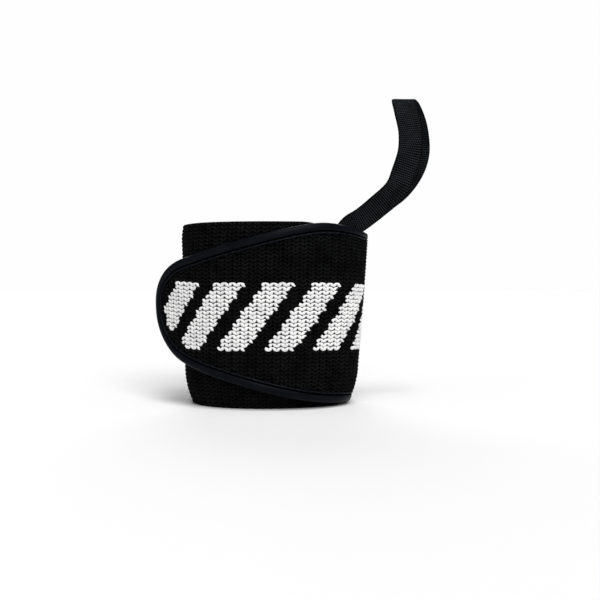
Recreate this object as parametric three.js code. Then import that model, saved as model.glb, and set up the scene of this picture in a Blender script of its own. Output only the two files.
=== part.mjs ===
// A wrist wrap in millimetres, +Z up toward the end the thumb loop comes out of, front at -Y.
// The knitted band is one strip wound clockwise, seen from above, from its inner end to its tongue.
import * as THREE from 'three';

// Sizes of the band
const bandWidth = 73;
const bandThickness = 1.8;
const layerGap = 0.3;
const layerPitch = bandThickness + layerGap;
const halfWidth = bandWidth / 2;

// The open hollow the layers are wound round
const hollowWidth = 63.8;
const hollowDepth = 45;
const hollowRoundness = 2.25;

// The worn form: wider toward the top, leaning a little, rims drawn in, top rim low under the loop
const coneSlope = 0.049;
const leanSlope = 0.0224;
const lowerCurl = { start: -23, depth: 2.6, reach: 13 };
const upperCurl = { start: 29, depth: 0.9, reach: 7 };
const rimDip = {
  turn: -0.02, innerSpread: 0.17, outerSpread: 0.15, innerDepth: 7.6, outerDepth: 3.8, start: 14, reach: 22,
};

// The winding, in turns from the inner end; turn 0 is at +X and the count falls clockwise
const innerEndTurn = -0.235;
const leaveTurns = 2.145;
const stationsPerTurn = 44;
const tongueFreeLength = 28.1;
const tongueEndHeading = 52 * Math.PI / 180;

// The tongue's outline
const tongue = {
  taperSlope: 0.288, taperStart: 15.7, tipLength: 19, tipFullness: 2.35,
  centreRise: 3.2, centreSettled: 0.75, settleLength: 30, shoulderEase: 5,
};

// How the outermost pass wanders down and partly back up again, by distance from the tip
const wander = { drop: 0.9, rest: 0.45, startsAt: 70, lowestAt: 130, endsAt: 190 };

// The binding tape folded over the edge
const binding = {
  width: 4.2, tape: 0.6, halfThickness: 1.3, startTurns: 1.80,
};
const edgeInset = 0.9;
const boundHalfThickness = 0.4;

// The hook tape on the inner face of the tongue
const patch = {
  thickness: 1.0, clearance: 0.15, fromTip: 8.5, toTip: 68, edgeMargin: 1.4, halfWidth: 22,
};

// The thumb loop's webbing
const strap = { width: 9.6, thickness: 1.3, chamfer: 0.3, clearance: 0.45 };

const clamp01 = (value) => Math.min(1, Math.max(0, value));
const smooth = (low, high, value) => {
  const share = clamp01((value - low) / (high - low));
  return share * share * (3 - 2 * share);
};
const mix = (from, to, share) => from + (to - from) * share;

// The hollow's oval, sampled evenly along its perimeter
const ovalSamples = 7200;
const halfHollowWidth = hollowWidth / 2;
const halfHollowDepth = hollowDepth / 2;

function ovalPointAtAngle(angle) {
  const power = 2 / hollowRoundness;
  const cosine = Math.cos(angle);
  const sine = Math.sin(angle);
  return {
    x: halfHollowWidth * Math.sign(cosine) * Math.abs(cosine) ** power,
    y: halfHollowDepth * Math.sign(sine) * Math.abs(sine) ** power,
  };
}

const ovalTable = [];
let ovalPerimeter = 0;
for (let index = 0; index <= ovalSamples; index += 1) {
  const point = ovalPointAtAngle(2 * Math.PI * index / ovalSamples);
  if (index > 0) {
    const last = ovalTable[index - 1];
    ovalPerimeter += Math.hypot(point.x - last.x, point.y - last.y);
  }
  ovalTable.push({ x: point.x, y: point.y, along: ovalPerimeter });
}

function ovalAt(turn) {
  const along = (turn - Math.floor(turn)) * ovalPerimeter;
  let low = 0;
  let high = ovalSamples;
  while (high - low > 1) {
    const middle = (low + high) >> 1;
    if (ovalTable[middle].along <= along) low = middle;
    else high = middle;
  }
  const from = ovalTable[low];
  const to = ovalTable[high];
  const share = (along - from.along) / Math.max(1e-9, to.along - from.along);
  const x = mix(from.x, to.x, share);
  const y = mix(from.y, to.y, share);
  const power = hollowRoundness - 1;
  const normalX = Math.sign(x) * Math.abs(x / halfHollowWidth) ** power / halfHollowWidth;
  const normalY = Math.sign(y) * Math.abs(y / halfHollowDepth) ** power / halfHollowDepth;
  const length = Math.hypot(normalX, normalY);
  return { x, y, normalX: normalX / length, normalY: normalY / length };
}

// How far the outermost pass is lifted off the one below, for the binding and then the hook tape
const bindingLift = 0.5;
const patchLift = patch.thickness + patch.clearance - bindingLift + 0.1;
const liftAt = (turns) => bindingLift * smooth(1.60, 1.72, turns) + patchLift * smooth(1.86, 1.97, turns);
const innerOffsetAt = (turns) => layerPitch * turns + liftAt(turns);

// The strip's path in plan, on its inner face: wound turns, then the tongue standing off freely
function woundPlan(turns) {
  const oval = ovalAt(innerEndTurn - turns);
  const offset = innerOffsetAt(turns);
  return {
    x: oval.x + oval.normalX * offset,
    y: oval.y + oval.normalY * offset,
    normalX: oval.normalX,
    normalY: oval.normalY,
    turns,
    free: 0,
  };
}

const leavePoint = woundPlan(leaveTurns);
const leaveHeading = Math.atan2(-leavePoint.normalX, -leavePoint.normalY);
const freeSteps = 400;

function freePlan(distance) {
  let x = leavePoint.x;
  let y = leavePoint.y;
  const step = distance / freeSteps;
  for (let index = 0; index < freeSteps; index += 1) {
    const along = (index + 0.5) * step;
    const heading = mix(leaveHeading, tongueEndHeading, along / tongueFreeLength);
    x -= Math.cos(heading) * step;
    y += Math.sin(heading) * step;
  }
  const heading = mix(leaveHeading, tongueEndHeading, distance / tongueFreeLength);
  return {
    x, y, normalX: -Math.sin(heading), normalY: -Math.cos(heading), turns: leaveTurns, free: distance,
  };
}

// The profile up the strip's face, shared by every layer so that they nest
function faceInset(height, freeShare) {
  const lower = clamp01((lowerCurl.start - height) / lowerCurl.reach);
  const upper = clamp01((height - upperCurl.start) / upperCurl.reach);
  return (lowerCurl.depth * lower * lower + upperCurl.depth * upper * upper) * (1 - freeShare);
}

function dippedHeight(height, turn, turns) {
  const around = turn - Math.round(turn - rimDip.turn);
  const outerShare = smooth(1.2, 1.6, turns);
  const spread = mix(rimDip.innerSpread, rimDip.outerSpread, outerShare);
  const depth = mix(rimDip.innerDepth, rimDip.outerDepth, outerShare);
  const away = clamp01(Math.abs(around - rimDip.turn) / spread);
  const bump = (1 + Math.cos(Math.PI * away)) / 2;
  const rise = clamp01((height - rimDip.start) / rimDip.reach);
  return height - depth * bump * rise * rise;
}

function profilePoint(plan, height, outward) {
  const freeShare = smooth(0, 14, plan.free);
  const reach = outward + coneSlope * height - faceInset(height, freeShare);
  return new THREE.Vector3(
    plan.x + plan.normalX * reach + leanSlope * height,
    plan.y + plan.normalY * reach,
    height,
  );
}

function facePoint(plan, height, outward, turn) {
  return profilePoint(plan, dippedHeight(height, turn, plan.turns), outward);
}

// Stations along the strip: shared ones while it is wound, closer ones toward the tip
const stations = [];
let travelled = 0;
function addStation(plan, turn) {
  const last = stations[stations.length - 1];
  if (last) travelled += Math.hypot(plan.x - last.plan.x, plan.y - last.plan.y);
  stations.push({ plan, turn, along: travelled });
}
addStation(woundPlan(0), innerEndTurn);
const firstWhole = Math.floor(innerEndTurn * stationsPerTurn - 0.5);
for (let index = firstWhole; index / stationsPerTurn > innerEndTurn - leaveTurns + 0.008; index -= 1) {
  const turn = index / stationsPerTurn;
  addStation(woundPlan(innerEndTurn - turn), turn);
}
addStation(leavePoint, innerEndTurn - leaveTurns);
const freeStations = 13;
for (let index = 1; index <= freeStations; index += 1) {
  const share = Math.sin(index / freeStations * Math.PI / 2);
  addStation(freePlan(tongueFreeLength * share), innerEndTurn - leaveTurns);
}
const stripLength = travelled;

// The strip's edges by distance from the tip
function centreHeight(fromTip) {
  const share = clamp01(fromTip / tongue.settleLength);
  const settled = mix(tongue.centreRise, tongue.centreSettled, share * (2 - share));
  const lowered = mix(settled, -wander.drop, smooth(wander.startsAt, wander.lowestAt, fromTip));
  return lowered + (wander.drop - wander.rest) * smooth(wander.lowestAt, wander.endsAt, fromTip);
}

function outlineHalf(fromTip) {
  const taper = tongue.taperStart + tongue.taperSlope * fromTip;
  const ease = tongue.shoulderEase / 2;
  const eased = halfWidth - Math.log(1 + Math.exp((halfWidth - taper) / ease)) * ease;
  const back = clamp01(1 - fromTip / tongue.tipLength);
  const rounding = (1 - back ** tongue.tipFullness) ** (1 / tongue.tipFullness);
  return Math.min(halfWidth, eased) * rounding;
}

// The outline, tip first, and lines set in from it, as distance from the tip and half height
const outlineSteps = 900;
const outlineReach = stripLength * 0.32;
const outline = [];
for (let index = 0; index <= outlineSteps; index += 1) {
  const share = index / outlineSteps;
  const fromTip = outlineReach * share ** 3;
  outline.push({ fromTip, half: outlineHalf(fromTip) });
}

function insetLine(inset) {
  return outline.map((point, index) => {
    const before = outline[Math.max(0, index - 1)];
    const after = outline[Math.min(outlineSteps, index + 1)];
    const forward = index === 0 ? 0 : after.fromTip - before.fromTip;
    const upward = index === 0 ? 1 : after.half - before.half;
    const length = Math.hypot(forward, upward);
    return {
      fromTip: point.fromTip + inset * upward / length,
      half: point.half - inset * forward / length,
    };
  });
}

function halfOnLine(line, fromTip) {
  if (fromTip <= line[0].fromTip) return 0;
  for (let index = 1; index < line.length; index += 1) {
    if (line[index].fromTip >= fromTip) {
      const before = line[index - 1];
      const after = line[index];
      const share = (fromTip - before.fromTip) / Math.max(1e-9, after.fromTip - before.fromTip);
      return Math.max(0, mix(before.half, after.half, share));
    }
  }
  return line[line.length - 1].half;
}

const edgeLine = insetLine(edgeInset);
const thinInset = binding.width + 0.3;
const fullInset = binding.width + 1.1;
const thinLine = insetLine(thinInset);
const fullLine = insetLine(fullInset);

// How an end ring is closed, in threes of its points: a ladder between its two halves, or a fan
function ladderCap(count) {
  const triangles = [];
  for (let index = 0; index + 1 < count / 2; index += 1) {
    const opposite = count - 1 - index;
    triangles.push([index, opposite, index + 1]);
    if (index + 1 < opposite - 1) triangles.push([index + 1, opposite, opposite - 1]);
  }
  return triangles;
}

function fanCap(count) {
  const triangles = [];
  for (let index = 1; index + 1 < count; index += 1) triangles.push([0, index + 1, index]);
  return triangles;
}

// One closed body from rings of points; the rings run the same way round
function closedLoft(rings, capOf) {
  const count = rings[0].length;
  const positions = [];
  for (const ring of rings) {
    for (const point of ring) positions.push(point.x, point.y, point.z);
  }
  const indices = [];
  for (let ring = 0; ring + 1 < rings.length; ring += 1) {
    for (let index = 0; index < count; index += 1) {
      const next = (index + 1) % count;
      const a = ring * count + index;
      const b = ring * count + next;
      const c = (ring + 1) * count + next;
      const d = (ring + 1) * count + index;
      indices.push(a, b, c, a, c, d);
    }
  }
  const last = (rings.length - 1) * count;
  for (const [a, b, c] of capOf(count)) indices.push(a, b, c);
  for (const [a, b, c] of capOf(count)) indices.push(last + a, last + c, last + b);
  return solidGeometry(positions, indices);
}

function signedVolume(positions, indices) {
  let total = 0;
  for (let index = 0; index < indices.length; index += 3) {
    const [a, b, c] = [indices[index] * 3, indices[index + 1] * 3, indices[index + 2] * 3];
    total += positions[a] * (positions[b + 1] * positions[c + 2] - positions[b + 2] * positions[c + 1]);
    total -= positions[a + 1] * (positions[b] * positions[c + 2] - positions[b + 2] * positions[c]);
    total += positions[a + 2] * (positions[b] * positions[c + 1] - positions[b + 1] * positions[c]);
  }
  return total / 6;
}

function solidGeometry(positions, indices) {
  if (signedVolume(positions, indices) < 0) {
    for (let index = 0; index < indices.length; index += 3) {
      [indices[index + 1], indices[index + 2]] = [indices[index + 2], indices[index + 1]];
    }
  }
  const geometry = new THREE.BufferGeometry();
  geometry.setAttribute('position', new THREE.Float32BufferAttribute(positions, 3));
  geometry.setIndex(indices);
  geometry.computeVertexNormals();
  return geometry;
}

// The knitted band: lines along it set in from its edge, and how it thins under the binding
const rowInsets = [8.2, 12.5, 19.5];
const looseThinInset = 2.4;
const leastThinShare = 0.45;
const leastFullShare = 0.35;
const thickening = { from: 1.5, to: 4.5 };

function bandRing(station) {
  const fromTip = stripLength - station.along;
  const bound = smooth(binding.startTurns - 0.04, binding.startTurns - 0.01, station.plan.turns);
  const centre = centreHeight(fromTip);
  const boundEdge = halfOnLine(edgeLine, fromTip);
  const outlineNow = outlineHalf(fromTip);
  const edge = mix(outlineNow, boundEdge, bound);
  const thinHalf = mix(outlineNow - looseThinInset, halfOnLine(thinLine, fromTip), bound);
  const thin = Math.max(thinHalf, edge * leastThinShare);
  const fullHalf = mix(outlineNow - fullInset, halfOnLine(fullLine, fromTip), bound);
  const full = Math.max(fullHalf, edge * leastFullShare);
  const fullFrom = mix(0, edge * leastFullShare, bound);
  const thickened = smooth(fullFrom + thickening.from, fullFrom + thickening.to, fullHalf);
  const centreThickness = mix(boundHalfThickness, bandThickness / 2, thickened);
  const edgeThickness = mix(bandThickness / 2, boundHalfThickness, bound);
  const halves = [
    { half: edge, thickness: edgeThickness },
    { half: thin, thickness: edgeThickness },
    { half: full, thickness: centreThickness },
  ];
  const reference = full + fullInset;
  for (const inset of rowInsets) {
    const wanted = outlineNow - inset;
    const share = (reference - inset) / reference;
    halves.push({
      half: Math.max(Math.min(wanted, full * 0.93), full * share * 0.9),
      thickness: centreThickness,
    });
  }
  const lines = [];
  for (const row of halves) lines.push({ height: centre - row.half, thickness: row.thickness });
  lines.push({ height: centre, thickness: centreThickness });
  for (const row of halves.slice().reverse()) {
    lines.push({ height: centre + row.half, thickness: row.thickness });
  }
  const middle = bandThickness / 2;
  const faceOn = (side) => lines.map((line) => (
    facePoint(station.plan, line.height, middle + side * line.thickness, station.turn)));
  return [...faceOn(1), ...faceOn(-1).reverse()];
}

const bandTipClearance = 1.15;
const bandStations = stations.filter((station) => stripLength - station.along > bandTipClearance + 0.35);
const bandTip = {
  plan: freePlan(tongueFreeLength - bandTipClearance),
  turn: innerEndTurn - leaveTurns,
  along: stripLength - bandTipClearance,
};
const bandGeometry = closedLoft([...bandStations, bandTip].map(bandRing), ladderCap);

// The binding, one tape of U section following the outline from the top edge round the tip
function planAtDistance(fromTip) {
  if (fromTip <= tongueFreeLength) {
    return { plan: freePlan(tongueFreeLength - fromTip), turn: innerEndTurn - leaveTurns };
  }
  const along = stripLength - fromTip;
  let index = 1;
  while (index < stations.length - 1 && stations[index].along < along) index += 1;
  const before = stations[index - 1];
  const after = stations[index];
  const share = (along - before.along) / (after.along - before.along);
  return {
    plan: {
      x: mix(before.plan.x, after.plan.x, share),
      y: mix(before.plan.y, after.plan.y, share),
      normalX: mix(before.plan.normalX, after.plan.normalX, share),
      normalY: mix(before.plan.normalY, after.plan.normalY, share),
      turns: mix(before.plan.turns, after.plan.turns, share),
      free: mix(before.plan.free, after.plan.free, share),
    },
    turn: mix(before.turn, after.turn, share),
  };
}

const foldRadius = 0.4;
const bindingInnerHalf = binding.halfThickness - binding.tape;
const bindingSection = [
  { inward: foldRadius, side: -binding.halfThickness },
  { inward: binding.width, side: -binding.halfThickness },
  { inward: binding.width, side: -bindingInnerHalf },
  { inward: binding.tape, side: -bindingInnerHalf },
  { inward: binding.tape, side: bindingInnerHalf },
  { inward: binding.width, side: bindingInnerHalf },
  { inward: binding.width, side: binding.halfThickness },
  { inward: foldRadius, side: binding.halfThickness },
  { inward: 0, side: binding.halfThickness - foldRadius },
  { inward: 0, side: -(binding.halfThickness - foldRadius) },
];

function bindingRing(fromTip, half, forward, upward, sign) {
  const length = Math.hypot(forward, upward);
  return bindingSection.map((corner) => {
    const fromTipNow = fromTip + corner.inward * upward / length;
    const halfNow = half - corner.inward * forward / length;
    const { plan, turn } = planAtDistance(fromTipNow);
    const height = centreHeight(fromTipNow) + sign * halfNow;
    return facePoint(plan, height, bandThickness / 2 + corner.side, turn);
  });
}

const bindingStart = stations.find((station) => station.plan.turns >= binding.startTurns);
const bindingReach = stripLength - bindingStart.along;
const tipTurnReach = 24;
const straightRings = stations
  .map((station) => stripLength - station.along)
  .filter((fromTip) => fromTip <= bindingReach + 1e-6 && fromTip > tipTurnReach + 2)
  .map((fromTip) => {
    const step = 0.5;
    return {
      fromTip,
      half: outlineHalf(fromTip),
      forward: 2 * step,
      upward: outlineHalf(fromTip + step) - outlineHalf(fromTip - step),
    };
  });
const tipRingCount = 15;
const tipRings = [];
for (let index = tipRingCount; index >= 0; index -= 1) {
  const fromTip = tipTurnReach * (index / tipRingCount) ** 2.3;
  const step = 0.02 + fromTip * 0.02;
  tipRings.push(index === 0
    ? { fromTip: 0, half: 0, forward: 0, upward: 1 }
    : {
      fromTip,
      half: outlineHalf(fromTip),
      forward: 2 * step,
      upward: outlineHalf(fromTip + step) - outlineHalf(Math.max(0, fromTip - step)),
    });
}
const halfRings = [...straightRings, ...tipRings];
const ringOnSide = (ring, sign) => bindingRing(ring.fromTip, ring.half, ring.forward, ring.upward, sign);
const upperRings = halfRings.map((ring) => ringOnSide(ring, 1));
const lowerRings = halfRings.slice(0, -1).reverse().map((ring) => ringOnSide(ring, -1));

// The U section's ends are cut into its two legs and the fold between them
const uSectionCap = () => [
  [0, 2, 1], [0, 3, 2], [9, 3, 0], [9, 4, 3], [9, 8, 4], [8, 7, 4], [7, 5, 4], [7, 6, 5],
];
const bindingGeometry = closedLoft([...upperRings, ...lowerRings], uSectionCap);

// The hook tape on the tongue's inner face
function patchRing(station) {
  const fromTip = stripLength - station.along;
  const centre = centreHeight(fromTip);
  const half = Math.min(halfOnLine(fullLine, fromTip) - patch.edgeMargin, patch.halfWidth);
  const outerFace = -patch.clearance;
  const innerFace = outerFace - patch.thickness;
  const shares = [-1, -0.5, 0, 0.5, 1];
  const lineAt = (face) => shares.map((share) => (
    facePoint(station.plan, centre + share * half, face, station.turn)));
  return [...lineAt(outerFace), ...lineAt(innerFace).reverse()];
}
const patchStations = stations.filter((station) => {
  const fromTip = stripLength - station.along;
  return fromTip >= patch.fromTip && fromTip <= patch.toTip;
});
const patchGeometry = closedLoft(patchStations.map(patchRing), ladderCap);

// The thumb loop: its centre line first up the inner face, then out over the rim, round and back.
// On the wall a level is a share of half the band's width.
const webSeat = -(strap.clearance + strap.thickness / 2);
const frontLeg = [
  { turn: -0.305, level: -0.0411, out: webSeat },
  { turn: -0.24, level: 0.2055, out: webSeat },
  { turn: -0.18, level: 0.4274, out: webSeat + 0.5 },
  { turn: -0.13, level: 0.6247, out: webSeat + 0.7 },
  { turn: -0.096, level: 0.7781, out: webSeat + 0.7 },
];
const backLeg = [
  { turn: 0.008, level: 0.8329, out: webSeat + 0.6 },
  { turn: -0.042, level: 0.6247, out: webSeat + 0.9 },
  { turn: -0.108, level: 0.3616, out: webSeat + 0.8 },
  { turn: -0.175, level: 0.0986, out: webSeat + 0.5 },
  { turn: -0.24, level: -0.1699, out: webSeat },
  { turn: -0.305, level: -0.4384, out: webSeat },
];
// Outside, in shares of the loop's rise from the top rim at the hollow's right end, and the way it faces
const loopRise = 51.2;
const looseRun = [
  { right: -0.0078, back: -0.2227, up: -0.0391, faceX: 0.66, faceY: -0.75, faceZ: 0 },
  { right: 0.0977, back: -0.1758, up: 0.0313, faceX: 0.48, faceY: -0.87, faceZ: -0.1 },
  { right: 0.2168, back: -0.1836, up: 0.1250, faceX: 0.28, faceY: -0.95, faceZ: -0.13 },
  { right: 0.3672, back: -0.2246, up: 0.2656, faceX: 0.12, faceY: -0.99, faceZ: -0.08 },
  { right: 0.4238, back: -0.2344, up: 0.4023, faceX: 0.05, faceY: -1, faceZ: -0.05 },
  { right: 0.4707, back: -0.2383, up: 0.5586, faceX: 0, faceY: -1, faceZ: 0 },
  { right: 0.4766, back: -0.2187, up: 0.7148, faceX: 0, faceY: -0.96, faceZ: 0.26 },
  { right: 0.4512, back: -0.1562, up: 0.8789, faceX: 0, faceY: -0.8, faceZ: 0.6 },
  { right: 0.4473, back: -0.0156, up: 1.0000, faceX: 0.05, faceY: -0.1, faceZ: 1 },
  { right: 0.5176, back: 0.1719, up: 0.9844, faceX: 0.1, faceY: 0.5, faceZ: 0.85 },
  { right: 0.5957, back: 0.2930, up: 0.8359, faceX: 0.2, faceY: 0.93, faceZ: 0.4 },
  { right: 0.6191, back: 0.3281, up: 0.6367, faceX: 0.3, faceY: 0.95, faceZ: 0 },
  { right: 0.5645, back: 0.3008, up: 0.4414, faceX: 0.48, faceY: 0.78, faceZ: -0.41 },
  { right: 0.4375, back: 0.2441, up: 0.2461, faceX: 0.55, faceY: 0.46, faceZ: -0.7 },
  { right: 0.2617, back: 0.1875, up: 0.0977, faceX: 0.56, faceY: 0.09, faceZ: -0.82 },
  { right: 0.1035, back: 0.1055, up: 0.0156, faceX: 0.76, faceY: -0.07, faceZ: -0.65 },
];

function legPoint(row) {
  const oval = ovalAt(row.turn);
  const plan = { x: oval.x, y: oval.y, normalX: oval.normalX, normalY: oval.normalY, free: 0 };
  const place = profilePoint(plan, halfWidth * row.level, row.out);
  return { place, face: new THREE.Vector3(oval.normalX, oval.normalY, -coneSlope) };
}
const loosePoint = (row) => ({
  place: new THREE.Vector3(
    halfHollowWidth + loopRise * row.right,
    loopRise * row.back,
    halfWidth + loopRise * row.up,
  ),
  face: new THREE.Vector3(row.faceX, row.faceY, row.faceZ).normalize(),
});
const webControls = [...frontLeg.map(legPoint), ...looseRun.map(loosePoint), ...backLeg.map(legPoint)];
const curveThrough = (points) => new THREE.CatmullRomCurve3(points, false, 'centripetal');
const webCurve = curveThrough(webControls.map((control) => control.place));
const faceCurve = curveThrough(webControls.map((control) => control.face));
const webStationsPerControl = 4;
const webStationCount = (webControls.length - 1) * webStationsPerControl;

function webRing(index) {
  const share = index / webStationCount;
  const place = webCurve.getPoint(share);
  const travel = webCurve.getTangent(share);
  const face = faceCurve.getPoint(share);
  face.addScaledVector(travel, -face.dot(travel)).normalize();
  const across = new THREE.Vector3().crossVectors(travel, face);
  const halfWide = strap.width / 2;
  const halfThick = strap.thickness / 2;
  const corners = [
    { wide: -halfWide, thick: halfThick - strap.chamfer },
    { wide: -halfWide + strap.chamfer, thick: halfThick },
    { wide: halfWide - strap.chamfer, thick: halfThick },
    { wide: halfWide, thick: halfThick - strap.chamfer },
    { wide: halfWide, thick: -halfThick + strap.chamfer },
    { wide: halfWide - strap.chamfer, thick: -halfThick },
    { wide: -halfWide + strap.chamfer, thick: -halfThick },
    { wide: -halfWide, thick: -halfThick + strap.chamfer },
  ];
  return corners.map((corner) => place.clone()
    .addScaledVector(across, corner.wide)
    .addScaledVector(face, corner.thick));
}
const webRings = [];
for (let index = 0; index <= webStationCount; index += 1) webRings.push(webRing(index));
const webGeometry = closedLoft(webRings, fanCap);

const finishes = {
  knit: new THREE.MeshStandardMaterial({ color: 0x121214, roughness: 0.92, metalness: 0 }),
  tape: new THREE.MeshStandardMaterial({ color: 0x10121c, roughness: 0.62, metalness: 0 }),
  hook: new THREE.MeshStandardMaterial({ color: 0x0d0d0e, roughness: 0.8, metalness: 0 }),
  webbing: new THREE.MeshStandardMaterial({ color: 0x15151a, roughness: 0.85, metalness: 0 }),
};

const group = new THREE.Group();
function addMesh(name, geometry, material) {
  const mesh = new THREE.Mesh(geometry, material);
  mesh.name = name;
  group.add(mesh);
}
addMesh('elastic_band', bandGeometry, finishes.knit);
addMesh('edge_binding', bindingGeometry, finishes.tape);
addMesh('hook_patch', patchGeometry, finishes.hook);
addMesh('thumb_loop', webGeometry, finishes.webbing);

export default group;
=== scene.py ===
"""A wrist wrap as worn: knitted band, edge binding, hook tape and thumb loop, laid over its solids.

Shape code works in millimetres and the mesh builder turns them into metres. A place on the strip
of knitting is given by its distance from the strip's tip, its height, and how far it lies out of
the strip's inner face, and every piece that belongs to the strip is laid on that one wound surface.
"""

import logging
import math
from dataclasses import dataclass, field
from enum import Enum

import bpy
import numpy as np
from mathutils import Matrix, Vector

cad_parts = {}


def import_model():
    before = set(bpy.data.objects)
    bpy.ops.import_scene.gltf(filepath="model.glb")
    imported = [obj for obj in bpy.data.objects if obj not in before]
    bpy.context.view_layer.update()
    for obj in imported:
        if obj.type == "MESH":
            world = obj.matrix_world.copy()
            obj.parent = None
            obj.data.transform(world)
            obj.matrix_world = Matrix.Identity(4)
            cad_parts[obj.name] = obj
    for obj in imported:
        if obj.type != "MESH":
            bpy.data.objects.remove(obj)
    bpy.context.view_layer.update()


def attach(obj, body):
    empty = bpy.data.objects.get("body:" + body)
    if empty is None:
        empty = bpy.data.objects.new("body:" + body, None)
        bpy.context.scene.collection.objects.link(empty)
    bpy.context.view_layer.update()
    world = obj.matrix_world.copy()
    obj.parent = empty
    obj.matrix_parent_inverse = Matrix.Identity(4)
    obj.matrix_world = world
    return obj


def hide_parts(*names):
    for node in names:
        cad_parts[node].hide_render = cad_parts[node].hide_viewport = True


LOG = logging.getLogger("wrist_wrap")
MM = 0.001
BODY = "root"
STITCH_SHARE = np.linspace(-0.5, 0.5, 7)
Array = np.ndarray
Piece = bpy.types.Object
Socket = bpy.types.NodeSocket
Values = dict[str | int, object]
Triple = tuple[float, float, float]


class Slot(Enum):
    """The record's material slots."""

    KNIT = "knit"
    BINDING = "binding_tape"
    HOOK = "hook_tape"
    WEBBING = "webbing"


class Relief(Enum):
    """The fine relief that a cloth carries."""

    NONE = "none"
    STITCHES = "stitches"
    WEAVE = "weave"
    RIBS = "ribs"


def smooth(low: float, high: float, value: Array) -> Array:
    """Ease from 0 to 1.

    Args:
        low: the value where the ease starts.
        high: the value where it ends.
        value: a number or an array of them.
    Returns:
        The eased shares.
    """
    share = np.clip((np.asarray(value, float) - low) / (high - low), 0, 1)
    return share * share * (3 - 2 * share)


def mix(start: Array, end: Array, share: Array) -> Array:
    """Blend linearly between two values."""
    return start + (end - start) * share


def unit(vectors: Array) -> Array:
    """Scale vectors to length one."""
    return vectors / np.linalg.norm(vectors, axis=-1, keepdims=True)


@dataclass(frozen=True)
class Curl:
    """A rim drawn in toward the hollow: the height where it starts, how far, and over what height."""

    start: float
    depth: float
    reach: float


@dataclass(frozen=True)
class RimDip:
    """The place where the top rim lies low, under the thumb loop."""

    turn: float = -0.02
    inner_spread: float = 0.17
    outer_spread: float = 0.15
    inner_depth: float = 7.6
    outer_depth: float = 3.8
    outer_from: float = 1.2
    outer_until: float = 1.6
    start: float = 14.0
    reach: float = 22.0


@dataclass(frozen=True)
class Wave:
    """A wave round the band: its share, its count in a turn, its start and its drift with height."""

    share: float
    count: int
    start: float
    drift: float


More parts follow.
